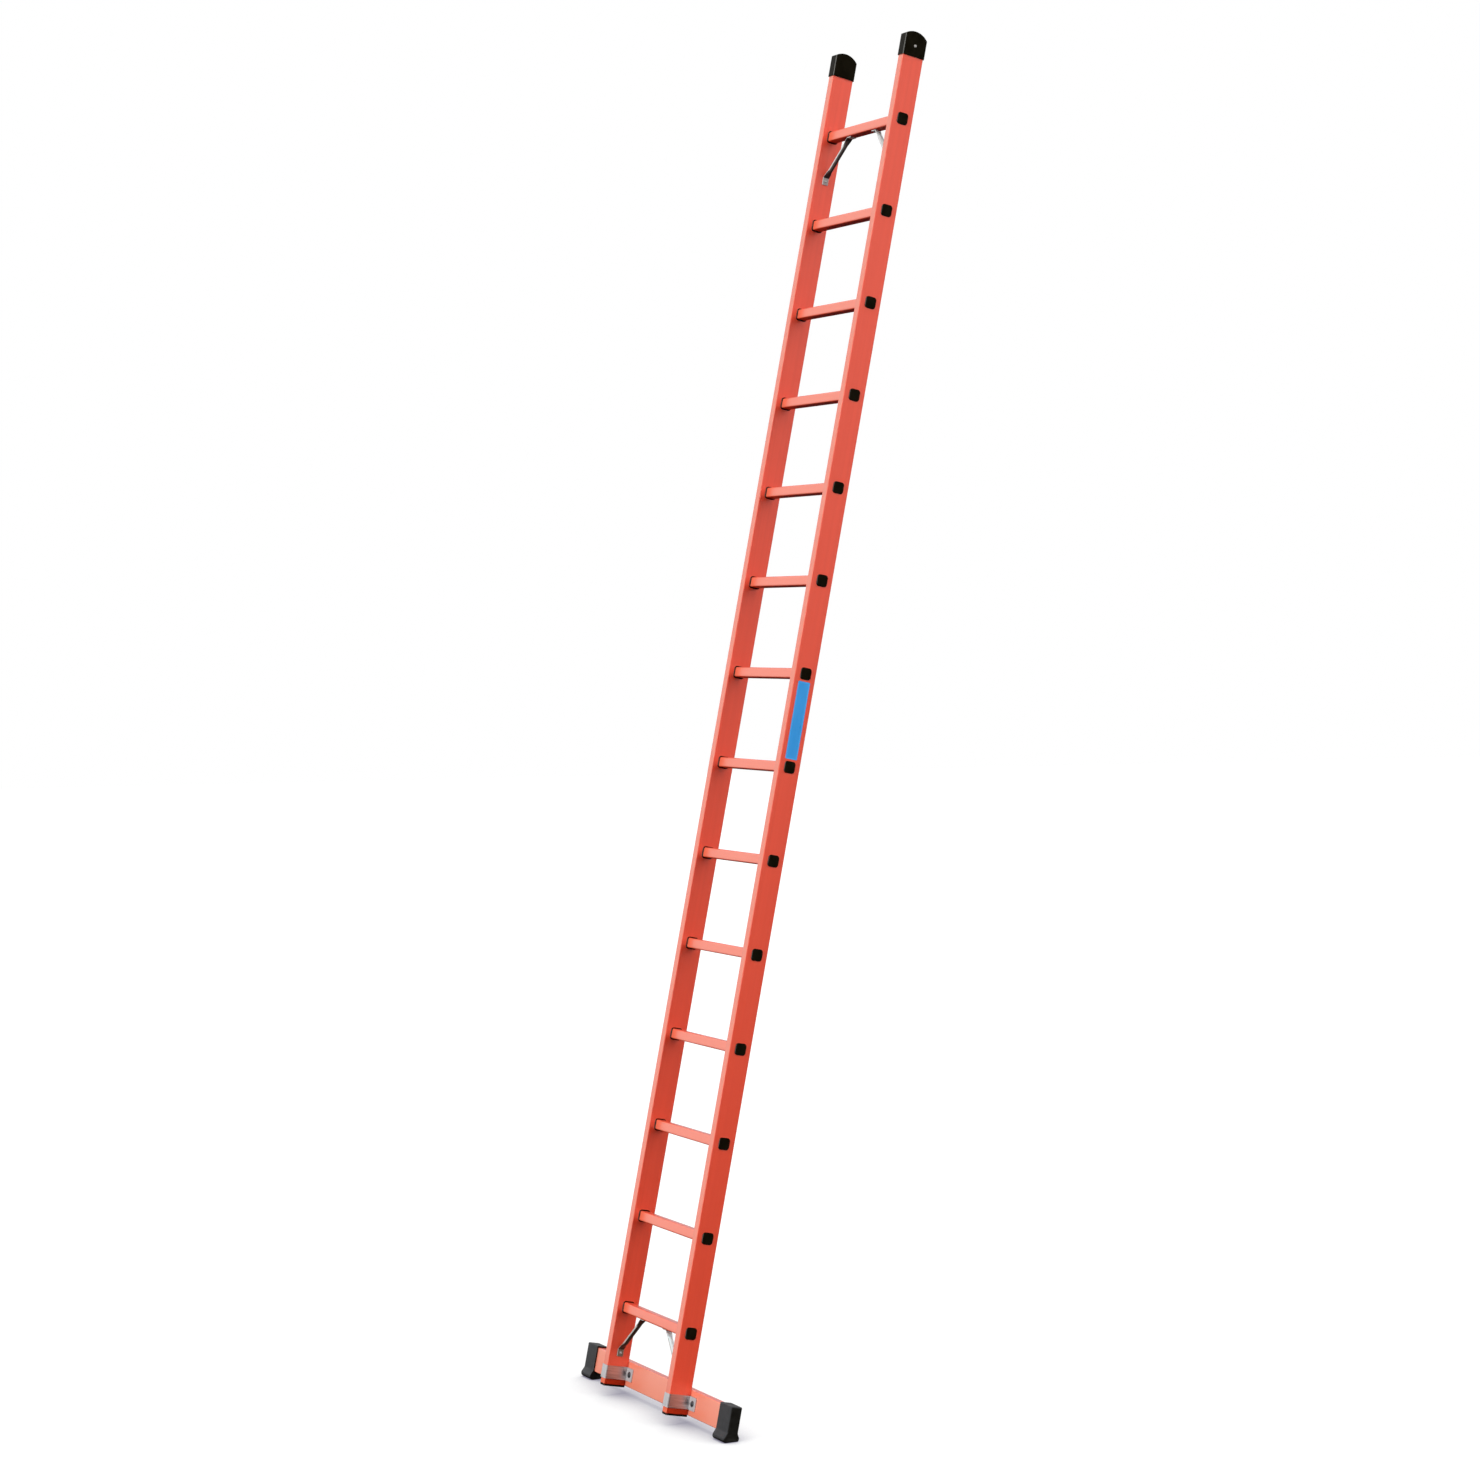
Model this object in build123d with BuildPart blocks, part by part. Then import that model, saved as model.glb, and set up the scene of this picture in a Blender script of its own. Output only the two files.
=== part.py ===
# Single fibreglass ladder with a stabiliser bar, standing as it is used: leaning, on its two feet.
# Millimetres and degrees. +Z is up and the floor is Z = 0, +X is the climber's right, and the top
# leans towards +Y. Along the ladder, lengths count from the centre of the lowest rung.

import os
from math import cos, pi, radians, sin

from build123d import *

os.makedirs("parts", exist_ok=True)

# Ladder
lean = 78.8  # between the stiles and the floor
ladder_width = 450  # over the outer faces of the stiles
rung_count = 14
rung_pitch = 280
upper_overhang = 241  # highest rung to the top end of a stile

# Pultruded box section of the stiles; the stabiliser bar has the same thickness and walls
profile_depth = 71
profile_thickness = 28
profile_wall = 3.5
profile_corner = 3
profile_bore_corner = 1.5

# Rungs, square tubes through both stiles
rung_side = 30.5
rung_wall = 3
rung_corner = 5.5
rung_bore_corner = 2.5
rung_fit = 0.15  # gap to the holes in the stiles

# Plugs in the rung ends
plug_side = 35.5
plug_corner = 9
plug_flange = 2.5
plug_edge = 0.8
plug_spigot = 16
plug_wall = 2
plug_fit = 0.15

# Collars round the rungs on the inner faces of the stiles
collar_side = 37
collar_flange = 2
collar_edge = 0.6
collar_sleeve = 1.2
collar_fit = 0.15

# Caps over the stile tops
cap_wall = 2.5
cap_front = 64  # height of the straight front
cap_rear = 54.5
cap_rise = 15.5  # arch of the top over its front and rear edges
cap_corner = 4.5
cap_edge = 1.5
cap_fit = 0.2
cap_engagement = 52  # length of stile inside the cap
cap_rivet_height = 32  # above the lower edge of the cap

# Plugs in the foot ends of the stiles
base_flange = 3
base_edge = 1
base_spigot = 24
base_wall = 2.5
base_fit = 0.2

# Braces: round tubes with flattened ends, bent to lie on the rung and on the stile
brace_tube = 14
brace_flat = 3  # thickness of the flattened ends
brace_reach = 112  # from the corner of rung and stile to each bend
brace_tab = 22
brace_bend = 5
brace_flat_run = 9  # flat stretch between the bend and the neck
brace_neck = 24  # length over which the tube flattens
brace_rivet_inset = 11  # rivet to the end of the tab

# Blind rivets
rivet_shank = 4.8
rivet_hole = 5
rivet_head = 9.5
rivet_crown = 1.8
rivet_tail = 6.8
rivet_tail_length = 4

# Stabiliser bar, behind the stiles
bar_length = 948
bar_height = 75
bar_drop = 199.5  # lowest rung to the middle of the bar
stile_tail = 39.5  # middle of the bar to the foot ends of the stiles

# Clamp brackets, bent round the stiles and bolted to the bar
clamp_sheet = 2.5
clamp_height = 40
clamp_flange = 40
clamp_bend = 3  # inside radius
clamp_corner = 4
clamp_fit = 0.2
clamp_bolt_offset = 20  # side of the stile to the bolt

# Clamp bolts with mushroom heads and square necks, washers and nuts
bolt_shank = 8
bolt_fit = 0.2
bolt_head = 19
bolt_crown = 5
bolt_end = 3  # thread past the nut
washer_diameter = 24
washer_thickness = 2
nut_flats = 13
nut_height = 8

# Moulded feet on the ends of the bar
foot_wall = 4.5
foot_fit = 0.2
foot_socket = 60  # length of bar inside the foot
foot_end_wall = 8
foot_end_round = 5.5
foot_crown_round = 3
sole_depth = 20  # lower rear edge of the bar to the floor
toe_front = 8  # the toe stands out this far in front of the foot's wall
heel_rear = 7  # and the heel this far behind it
toe_drop = 12  # lower edge of the bar to the widest level of the toe
heel_drop = 8
flare_rise = 4  # lower edge of the bar up to where the flare starts
flare_round = 8
brow_round = 4
toe_round = 11
heel_round = 7
tread_count = 4
tread_width = 2.2
tread_depth = 1.5
tread_pitch = 6.5

# Label on the outer face of the right stile, filling the bay between two rungs
label_margin = 6  # to the rung plugs at its ends
label_width = 40
label_corner = 3
label_film = 0.3
label_rung = 7  # the lower of the two rungs, counted from the lowest

# Sizes that follow from those above
half_width = ladder_width / 2
inner_half = half_width - profile_thickness
stile_middle = half_width - profile_thickness / 2
mid_depth = profile_depth / 2
top_rung = (rung_count - 1) * rung_pitch
stile_bottom = -bar_drop - stile_tail
stile_top = top_rung + upper_overhang
profile_bore_depth = profile_depth - 2 * profile_wall
profile_bore_thickness = profile_thickness - 2 * profile_wall
rung_bore = rung_side - 2 * rung_wall
rung_hole = rung_side + 2 * rung_fit
collar_bore = rung_hole
collar_sleeve_side = collar_bore + 2 * collar_sleeve
collar_hole = collar_sleeve_side + 2 * collar_fit
cap_bottom = stile_top - cap_engagement
bar_bottom = -bar_drop - bar_height / 2
bar_top = -bar_drop + bar_height / 2
bar_rear = profile_depth + profile_thickness
brace_width = (pi * brace_tube - pi * brace_flat) / 2 + brace_flat  # the tube's girth, pressed flat
bolt_hole = bolt_shank + 2 * bolt_fit
bolt_reach = half_width + clamp_fit + clamp_bolt_offset
bolt_inner_reach = inner_half - clamp_fit - clamp_bolt_offset
foot_length = foot_socket + foot_end_wall

# The ladder's own frame: local x across, local y rearward from the front faces, local z along the stiles
along = Vector(0, cos(radians(lean)), sin(radians(lean)))
rearward = Vector(0, sin(radians(lean)), -cos(radians(lean)))
across = Vector(1, 0, 0)
base_height = sole_depth - bar_bottom * along.Z - bar_rear * rearward.Z
lowest_reach = (stile_bottom - base_flange) * along.Y
highest_reach = (cap_bottom + cap_rear) * along.Y + (profile_depth + cap_fit + cap_wall) * rearward.Y
ladder = Plane(
    origin=(0, -(lowest_reach + highest_reach) / 2, base_height),
    x_dir=across,
    z_dir=along,
)


def level(height):
    # Across the stiles at a height along them: x across, y rearward, facing up the ladder
    return ladder.offset(height)


def side(offset):
    # Parallel to the sides of the stiles: x rearward, y along, facing +X
    return Plane(ladder.from_local_coords((offset, 0, 0)), x_dir=rearward, z_dir=across)


def front(depth):
    # Parallel to the front of the ladder: x across, y along, facing the climber
    return Plane(ladder.from_local_coords((0, depth, 0)), x_dir=across, z_dir=-rearward)


def place(x, depth, height):
    # A point given in the ladder's own frame
    return ladder.from_local_coords((x, depth, height))


def finish(piece, name):
    piece.part.label = name
    export_step(piece.part, f"parts/{name}.step")


def sole_height(depth):
    # Where the floor lies along the ladder, at a depth behind the front faces
    return (-base_height - depth * rearward.Z) / along.Z


rung_heights = [index * rung_pitch for index in range(rung_count)]
rung_places = [(mid_depth, height) for height in rung_heights]
braced_heights = [rung_heights[0], rung_heights[-1]]
brace_stile_drop = rung_side / 2 + brace_reach + brace_tab - brace_rivet_inset
brace_rung_reach = inner_half - brace_reach - brace_tab + brace_rivet_inset
bolt_places = [
    (x, -bar_drop)
    for x in (-bolt_reach, -bolt_inner_reach, bolt_inner_reach, bolt_reach)
]


# Stiles

def make_stile(name, hand):
    with BuildPart() as stile:
        with BuildSketch(level(stile_bottom)):
            with Locations((hand * stile_middle, mid_depth)):
                RectangleRounded(profile_thickness, profile_depth, profile_corner)
                RectangleRounded(
                    profile_bore_thickness,
                    profile_bore_depth,
                    profile_bore_corner,
                    mode=Mode.SUBTRACT,
                )
        extrude(amount=stile_top - stile_bottom)
        with BuildSketch(side(hand * half_width)):
            with Locations(*rung_places):
                RectangleRounded(rung_hole, rung_hole, rung_corner + rung_fit)
            with Locations((mid_depth, cap_bottom + cap_rivet_height)):
                Circle(rivet_hole / 2)
        extrude(amount=-hand * profile_thickness / 2, mode=Mode.SUBTRACT)
        with BuildSketch(side(hand * inner_half)):
            with Locations(*rung_places):
                RectangleRounded(collar_hole, collar_hole, rung_corner + (collar_hole - rung_side) / 2)
            with Locations(*[(mid_depth, height - brace_stile_drop) for height in braced_heights]):
                Circle(rivet_hole / 2)
        extrude(amount=hand * profile_thickness / 2, mode=Mode.SUBTRACT)
    finish(stile, name)


# Rungs

def make_rung(index):
    with BuildPart() as rung:
        with BuildSketch(side(-half_width)):
            with Locations(rung_places[index]):
                RectangleRounded(rung_side, rung_side, rung_corner)
                RectangleRounded(rung_bore, rung_bore, rung_bore_corner, mode=Mode.SUBTRACT)
        extrude(amount=ladder_width)
        if rung_heights[index] in braced_heights:
            with BuildSketch(level(rung_heights[index] - rung_side / 2)):
                with Locations((-brace_rung_reach, mid_depth), (brace_rung_reach, mid_depth)):
                    Circle(rivet_hole / 2)
            extrude(amount=rung_side / 2, mode=Mode.SUBTRACT)
    finish(rung, f"rung_{index + 1:02d}")


# Plugs in the rung ends: a flange on the stile and a hollow spigot in the rung

def make_rung_plugs(name, hand):
    spigot_side = rung_bore - 2 * plug_fit
    with BuildPart() as plugs:
        with BuildSketch(side(hand * half_width)):
            with Locations(*rung_places):
                RectangleRounded(plug_side, plug_side, plug_corner)
        extrude(amount=hand * plug_flange)
        outer_faces = plugs.faces().group_by(Axis.X)[-1 if hand > 0 else 0]
        chamfer(outer_faces.edges(), plug_edge)
        with BuildSketch(side(hand * half_width)):
            with Locations(*rung_places):
                RectangleRounded(spigot_side, spigot_side, rung_bore_corner)
                RectangleRounded(
                    spigot_side - 2 * plug_wall,
                    spigot_side - 2 * plug_wall,
                    rung_bore_corner / 2,
                    mode=Mode.SUBTRACT,
                )
        extrude(amount=-hand * plug_spigot)
    finish(plugs, name)


# Collars on the inner faces: a flange on the stile and a sleeve in its wall

def make_rung_collars(name, hand):
    with BuildPart() as collars:
        with BuildSketch(side(hand * inner_half)):
            with Locations(*rung_places):
                RectangleRounded(collar_side, collar_side, rung_corner + (collar_side - rung_side) / 2)
        extrude(amount=-hand * collar_flange)
        inner_faces = collars.faces().group_by(Axis.X)[0 if hand > 0 else -1]
        chamfer(inner_faces.edges(), collar_edge)
        with BuildSketch(side(hand * inner_half)):
            with Locations(*rung_places):
                RectangleRounded(
                    collar_sleeve_side,
                    collar_sleeve_side,
                    rung_corner + (collar_sleeve_side - rung_side) / 2,
                )
        extrude(amount=hand * profile_wall)
        with BuildSketch(side(hand * (inner_half - collar_flange))):
            with Locations(*rung_places):
                RectangleRounded(collar_bore, collar_bore, rung_corner + rung_fit)
        extrude(amount=hand * (collar_flange + profile_wall), mode=Mode.SUBTRACT)
    finish(collars, name)


# Caps over the stile tops, with an arched top and a pocket for the stile

def make_top_cap(name, hand):
    shell = cap_fit + cap_wall
    front_edge = cap_bottom + cap_front
    rear_edge = cap_bottom + cap_rear
    with BuildPart() as cap:
        with BuildSketch(side(hand * stile_middle)):
            with BuildLine():
                skirt = Polyline(
                    (-shell, front_edge),
                    (-shell, cap_bottom),
                    (profile_depth + shell, cap_bottom),
                    (profile_depth + shell, rear_edge),
                )
                crest = (mid_depth, (front_edge + rear_edge) / 2 + cap_rise)
                ThreePointArc(skirt @ 1, crest, skirt @ 0)
            make_face()
        extrude(amount=profile_thickness / 2 + shell, both=True)
        fillet(cap.edges().filter_by(Axis(ladder.origin, along)), cap_corner)
        fillet(cap.faces().sort_by(Axis(ladder.origin, along))[-1].edges(), cap_edge)
        with BuildSketch(level(cap_bottom)):
            with Locations((hand * stile_middle, mid_depth)):
                RectangleRounded(
                    profile_thickness + 2 * cap_fit,
                    profile_depth + 2 * cap_fit,
                    profile_corner + cap_fit,
                )
        extrude(amount=cap_engagement, mode=Mode.SUBTRACT)
        with BuildSketch(side(hand * half_width)):
            with Locations((mid_depth, cap_bottom + cap_rivet_height)):
                Circle(rivet_hole / 2)
        extrude(amount=hand * 2 * shell, mode=Mode.SUBTRACT)
    finish(cap, name)


# Plugs in the foot ends of the stiles

def make_base_plug(name, hand):
    with BuildPart() as plug:
        with BuildSketch(level(stile_bottom)):
            with Locations((hand * stile_middle, mid_depth)):
                RectangleRounded(profile_thickness, profile_depth, profile_corner)
        extrude(amount=-base_flange)
        chamfer(plug.faces().sort_by(Axis(ladder.origin, along))[0].edges(), base_edge)
        spigot_thickness = profile_bore_thickness - 2 * base_fit
        spigot_depth = profile_bore_depth - 2 * base_fit
        with BuildSketch(level(stile_bottom)):
            with Locations((hand * stile_middle, mid_depth)):
                RectangleRounded(spigot_thickness, spigot_depth, profile_bore_corner)
                RectangleRounded(
                    spigot_thickness - 2 * base_wall,
                    spigot_depth - 2 * base_wall,
                    profile_bore_corner / 2,
                    mode=Mode.SUBTRACT,
                )
        extrude(amount=base_spigot)
    finish(plug, name)


# Braces: the tube is round between its necks and flattens towards the bent tabs

def make_brace(name, hand, height):
    underside = height - rung_side / 2
    inner_face = hand * inner_half
    tab_middle = inner_face - hand * brace_flat / 2
    stile_bend = place(tab_middle, mid_depth, underside - brace_reach)
    rung_bend = place(inner_face - hand * brace_reach, mid_depth, underside - brace_flat / 2)
    stile_end = stile_bend - along * brace_tab
    rung_end = rung_bend - across * hand * brace_tab
    strut = (rung_bend - stile_bend).normalized()
    strut_length = (rung_bend - stile_bend).length
    lower_flat = brace_flat_run
    upper_flat = strut_length - brace_flat_run
    lower_round = lower_flat + brace_neck
    upper_round = upper_flat - brace_neck

    def section(distance):
        # Square across the strut, at a distance from its lower bend
        return Plane(stile_bend + strut * distance, x_dir=rearward, z_dir=strut)

    with BuildPart() as brace:
        for end, bend, flat in ((stile_end, stile_bend, lower_flat), (rung_end, rung_bend, upper_flat)):
            with BuildLine() as tab_line:
                FilletPolyline(end, bend, section(flat).origin, radius=brace_bend)
            with BuildSketch(Plane(end, x_dir=rearward, z_dir=bend - end)):
                SlotOverall(brace_width, brace_flat)
            sweep(path=tab_line.wire())
        for flat, round_part in ((lower_flat, lower_round), (upper_flat, upper_round)):
            with BuildSketch(section(flat)):
                SlotOverall(brace_width, brace_flat)
            with BuildSketch(section(round_part)):
                Circle(brace_tube / 2)
            loft()
        with BuildSketch(section(lower_round)):
            Circle(brace_tube / 2)
        extrude(amount=upper_round - lower_round)
        with BuildSketch(side(inner_face)):
            with Locations((mid_depth, height - brace_stile_drop)):
                Circle(rivet_hole / 2)
        extrude(amount=-hand * 2 * brace_flat, mode=Mode.SUBTRACT)
        with BuildSketch(level(underside)):
            with Locations((hand * brace_rung_reach, mid_depth)):
                Circle(rivet_hole / 2)
        extrude(amount=-2 * brace_flat, mode=Mode.SUBTRACT)
    finish(brace, name)


# Blind rivets: a crowned head, a shank and a swollen tail behind the wall

def make_rivets(name, seats, grip):
    crown_radius = (rivet_head**2 / 4 + rivet_crown**2) / (2 * rivet_crown)
    with BuildPart() as rivets:
        for seat, outward in seats:
            with BuildSketch(Plane(seat, x_dir=rearward, z_dir=rearward.cross(outward))):
                with BuildLine():
                    body = Polyline(
                        (0, rivet_crown),
                        (0, -grip - rivet_tail_length),
                        (rivet_tail / 2, -grip - rivet_tail_length),
                        (rivet_tail / 2, -grip),
                        (rivet_shank / 2, -grip),
                        (rivet_shank / 2, 0),
                        (rivet_head / 2, 0),
                    )
                    RadiusArc(body @ 1, body @ 0, -crown_radius)
                make_face()
            revolve(axis=Axis(seat, outward))
    finish(rivets, name)


def make_all_rivets():
    cap_face = half_width + cap_fit + cap_wall
    cap_seats = [
        (place(hand * cap_face, mid_depth, cap_bottom + cap_rivet_height), across * hand) for hand in (-1, 1)
    ]
    stile_seats = [
        (place(hand * (inner_half - brace_flat), mid_depth, height - brace_stile_drop), across * -hand)
        for hand in (-1, 1)
        for height in braced_heights
    ]
    rung_seats = [
        (place(hand * brace_rung_reach, mid_depth, height - rung_side / 2 - brace_flat), -along)
        for hand in (-1, 1)
        for height in braced_heights
    ]
    make_rivets("top_cap_rivets", cap_seats, cap_wall + cap_fit + profile_wall)
    make_rivets("brace_stile_rivets", stile_seats, brace_flat + profile_wall)
    make_rivets("brace_rung_rivets", rung_seats, brace_flat + rung_wall)


# Stabiliser bar

def make_bar():
    with BuildPart() as bar:
        with BuildSketch(side(-bar_length / 2)):
            with Locations((profile_depth + profile_thickness / 2, -bar_drop)):
                RectangleRounded(profile_thickness, bar_height, profile_corner)
                RectangleRounded(
                    profile_bore_thickness,
                    bar_height - 2 * profile_wall,
                    profile_bore_corner,
                    mode=Mode.SUBTRACT,
                )
        extrude(amount=bar_length)
        with BuildSketch(front(profile_depth)):
            with Locations(*bolt_places):
                Circle(bolt_hole / 2)
        extrude(amount=-profile_thickness, mode=Mode.SUBTRACT)
    finish(bar, "stabiliser_bar")


# Clamp brackets: one strip of sheet bent round the stile, with a flange on each side

def make_clamp(name, hand):
    middle = hand * stile_middle
    wall = profile_thickness / 2 + clamp_fit + clamp_sheet / 2
    tip = profile_thickness / 2 + clamp_fit + clamp_flange
    flange_depth = profile_depth - clamp_sheet / 2
    nose_depth = -clamp_fit - clamp_sheet / 2
    with BuildPart() as clamp:
        with BuildSketch(level(-bar_drop - clamp_height / 2)):
            with BuildLine():
                FilletPolyline(
                    (middle - tip, flange_depth),
                    (middle - wall, flange_depth),
                    (middle - wall, nose_depth),
                    (middle + wall, nose_depth),
                    (middle + wall, flange_depth),
                    (middle + tip, flange_depth),
                    radius=clamp_bend + clamp_sheet / 2,
                )
            trace(line_width=clamp_sheet)
        extrude(amount=clamp_height)
        tips = clamp.faces().filter_by(Axis.X).group_by(Axis.X)
        tip_edges = (tips[0] + tips[-1]).edges().filter_by(Axis(ladder.origin, rearward))
        fillet(tip_edges, clamp_corner)
        with BuildSketch(front(profile_depth)):
            with Locations(*bolt_places):
                Rectangle(bolt_hole, bolt_hole)
        extrude(amount=clamp_sheet, mode=Mode.SUBTRACT)
    finish(clamp, name)


# Clamp bolts with washers and nuts behind the bar

def make_clamp_bolts():
    shank_length = profile_thickness + washer_thickness + nut_height + bolt_end
    crown_radius = (bolt_head**2 / 4 + bolt_crown**2) / (2 * bolt_crown)
    with BuildPart() as bolts:
        for x, height in bolt_places:
            seat = place(x, profile_depth - clamp_sheet, height)
            with BuildSketch(Plane(seat, x_dir=across, z_dir=-along)):
                with BuildLine():
                    head = Polyline((0, bolt_crown), (0, 0), (bolt_head / 2, 0))
                    RadiusArc(head @ 1, head @ 0, -crown_radius)
                make_face()
            revolve(axis=Axis(seat, rearward))
        with BuildSketch(front(profile_depth - clamp_sheet)):
            with Locations(*bolt_places):
                Rectangle(bolt_shank, bolt_shank)
        extrude(amount=-clamp_sheet)
        with BuildSketch(front(profile_depth)):
            with Locations(*bolt_places):
                Circle(bolt_shank / 2)
        extrude(amount=-shank_length)
    finish(bolts, "clamp_bolts")


def make_clamp_washers():
    with BuildPart() as washers:
        with BuildSketch(front(bar_rear)):
            with Locations(*bolt_places):
                Circle(washer_diameter / 2)
                Circle(bolt_hole / 2, mode=Mode.SUBTRACT)
        extrude(amount=-washer_thickness)
    finish(washers, "clamp_washers")


def make_clamp_nuts():
    with BuildPart() as nuts:
        with BuildSketch(front(bar_rear + washer_thickness)):
            with Locations(*bolt_places):
                RegularPolygon(nut_flats / 2, 6, major_radius=False)
                Circle(bolt_hole / 2, mode=Mode.SUBTRACT)
        extrude(amount=-nut_height)
    finish(nuts, "clamp_nuts")


# Feet: a socket for the bar over a flared toe and heel, with a level sole and treads across it

def make_foot(name, hand):
    front_wall = profile_depth - foot_fit - foot_wall
    rear_wall = bar_rear + foot_fit + foot_wall
    toe = front_wall - toe_front
    heel = rear_wall + heel_rear
    toe_brow = bar_bottom - toe_drop
    heel_brow = bar_bottom - heel_drop
    flare = bar_bottom + flare_rise
    crown = bar_top + foot_fit + foot_wall
    mouth = hand * (bar_length / 2 - foot_socket)
    outline = [
        (front_wall, crown, foot_crown_round),
        (front_wall, flare, flare_round),
        (toe, toe_brow, brow_round),
        (toe, sole_height(toe), toe_round),
        (heel, sole_height(heel), heel_round),
        (heel, heel_brow, brow_round),
        (rear_wall, flare, flare_round),
        (rear_wall, crown, foot_crown_round),
    ]
    with BuildPart() as foot:
        with BuildSketch(side(mouth)):
            with BuildLine():
                FilletPolyline(
                    [(depth, height) for depth, height, rounding in outline],
                    radius=[rounding for depth, height, rounding in outline],
                    close=True,
                )
            make_face()
        extrude(amount=hand * foot_length)
        end_face = foot.faces().filter_by(Axis.X).sort_by(Axis.X)[-1 if hand > 0 else 0]
        fillet(end_face.edges(), foot_end_round)
        with BuildSketch(side(mouth)):
            with Locations((profile_depth + profile_thickness / 2, -bar_drop)):
                RectangleRounded(
                    profile_thickness + 2 * foot_fit,
                    bar_height + 2 * foot_fit,
                    profile_corner + foot_fit,
                )
        extrude(amount=hand * foot_socket, mode=Mode.SUBTRACT)
        sole = foot.faces().sort_by(Axis.Z)[0]
        with BuildSketch(Plane(sole.center(), x_dir=across, z_dir=(0, 0, 1))):
            with GridLocations(0, tread_pitch, 1, tread_count):
                Rectangle(2 * foot_length, tread_width)
        extrude(amount=tread_depth, mode=Mode.SUBTRACT)
    finish(foot, name)


# Label

def make_label():
    middle = (label_rung - 0.5) * rung_pitch
    label_length = rung_pitch - plug_side - 2 * label_margin
    with BuildPart() as label:
        with BuildSketch(side(half_width)):
            with Locations((mid_depth, middle)):
                RectangleRounded(label_width, label_length, label_corner)
        extrude(amount=label_film)
    finish(label, "stile_label")


make_stile("left_stile", -1)
make_stile("right_stile", 1)
for rung_index in range(rung_count):
    make_rung(rung_index)
for hand_name, hand_sign in (("left", -1), ("right", 1)):
    make_rung_plugs(f"{hand_name}_rung_plugs", hand_sign)
    make_rung_collars(f"{hand_name}_rung_collars", hand_sign)
    make_top_cap(f"{hand_name}_top_cap", hand_sign)
    make_base_plug(f"{hand_name}_base_plug", hand_sign)
    make_brace(f"lower_{hand_name}_brace", hand_sign, braced_heights[0])
    make_brace(f"upper_{hand_name}_brace", hand_sign, braced_heights[1])
    make_clamp(f"{hand_name}_clamp", hand_sign)
    make_foot(f"{hand_name}_foot", hand_sign)
make_all_rivets()
make_bar()
make_clamp_bolts()
make_clamp_washers()
make_clamp_nuts()
make_label()
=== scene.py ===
from math import cos, pi, radians, sin

import bpy
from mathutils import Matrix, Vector


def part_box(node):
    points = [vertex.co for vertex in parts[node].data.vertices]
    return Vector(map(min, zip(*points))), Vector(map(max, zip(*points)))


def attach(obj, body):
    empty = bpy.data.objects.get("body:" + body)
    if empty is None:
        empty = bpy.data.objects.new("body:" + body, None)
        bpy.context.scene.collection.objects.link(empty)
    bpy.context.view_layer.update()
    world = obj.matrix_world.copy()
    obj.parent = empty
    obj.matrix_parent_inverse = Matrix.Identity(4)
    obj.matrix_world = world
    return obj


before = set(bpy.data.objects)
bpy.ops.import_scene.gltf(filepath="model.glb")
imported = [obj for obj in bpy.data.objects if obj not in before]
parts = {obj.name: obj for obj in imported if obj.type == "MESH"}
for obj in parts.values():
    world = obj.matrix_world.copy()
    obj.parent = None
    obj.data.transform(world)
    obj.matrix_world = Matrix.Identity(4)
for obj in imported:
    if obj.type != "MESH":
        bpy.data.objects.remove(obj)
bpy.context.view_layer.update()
scene = bpy.context.scene
print("frame loaded,", len(parts), "parts")

# The leaning ladder's own directions: across (x), rearward through the stiles, and up along them
ladder = {
    "lean": 78.8,  # degrees between stile and floor
    "halfWidth": 0.225,  # middle of the ladder to the outer face of a stile
    "stileThickness": 0.028,
    "rungSide": 0.0305,
    "rungPitch": 0.280,
    "rungCount": 14,
}
leanAngle = radians(ladder["lean"])
leanTurn = (leanAngle - pi / 2, 0, 0)  # upright to leaning
uphill = Vector((0, cos(leanAngle), sin(leanAngle)))
rearward = Vector((0, sin(leanAngle), -cos(leanAngle)))
across = Vector((1, 0, 0))
rungLow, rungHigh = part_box("rung_01")
lowestRung = (rungLow + rungHigh) / 2


def ladderPlace(x, depth, height):
    # depth from the middle of the stiles, height from the lowest rung
    return lowestRung + across * x + rearward * depth + uphill * height


# Steps shared by all node trees


def addNode(tree, kind, inputs=None, **settings):
    # one node; an input given as a socket is linked, anything else is its value
    node = tree.nodes.new(kind)
    for key, value in settings.items():
        setattr(node, key, value)
    for socket, value in (inputs or {}).items():
        if isinstance(value, bpy.types.NodeSocket):
            tree.links.new(value, node.inputs[socket])
        else:
            node.inputs[socket].default_value = value
    return node


def reckon(tree, operation, first, second):
    node = addNode(tree, "ShaderNodeMath", {0: first, 1: second}, operation=operation)
    return node.outputs[0]


def towards(tree, vector, direction):
    node = addNode(tree, "ShaderNodeVectorMath", {0: vector, 1: direction}, operation="DOT_PRODUCT")
    return node.outputs["Value"]


def spread(tree, value, low, high, to0=0.0, to1=1.0, ease="LINEAR"):
    # carries the values between low and high over to those between to0 and to1
    node = addNode(
        tree,
        "ShaderNodeMapRange",
        {"Value": value, "From Min": low, "From Max": high, "To Min": to0, "To Max": to1},
        interpolation_type=ease,
    )
    return node.outputs["Result"]


def blendColour(tree, factor, first, second):
    node = addNode(tree, "ShaderNodeMix", {0: factor, 6: first, 7: second}, data_type="RGBA")
    return node.outputs[2]


def seenRays(tree):
    # rays straight from the camera, also through glass, and rays that gloss mirrors
    path = addNode(tree, "ShaderNodeLightPath")
    direct = reckon(tree, "MAXIMUM", path.outputs["Is Camera Ray"], path.outputs["Is Transmission Ray"])
    return direct, path.outputs["Is Glossy Ray"]


# Camera, floor and light

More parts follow.
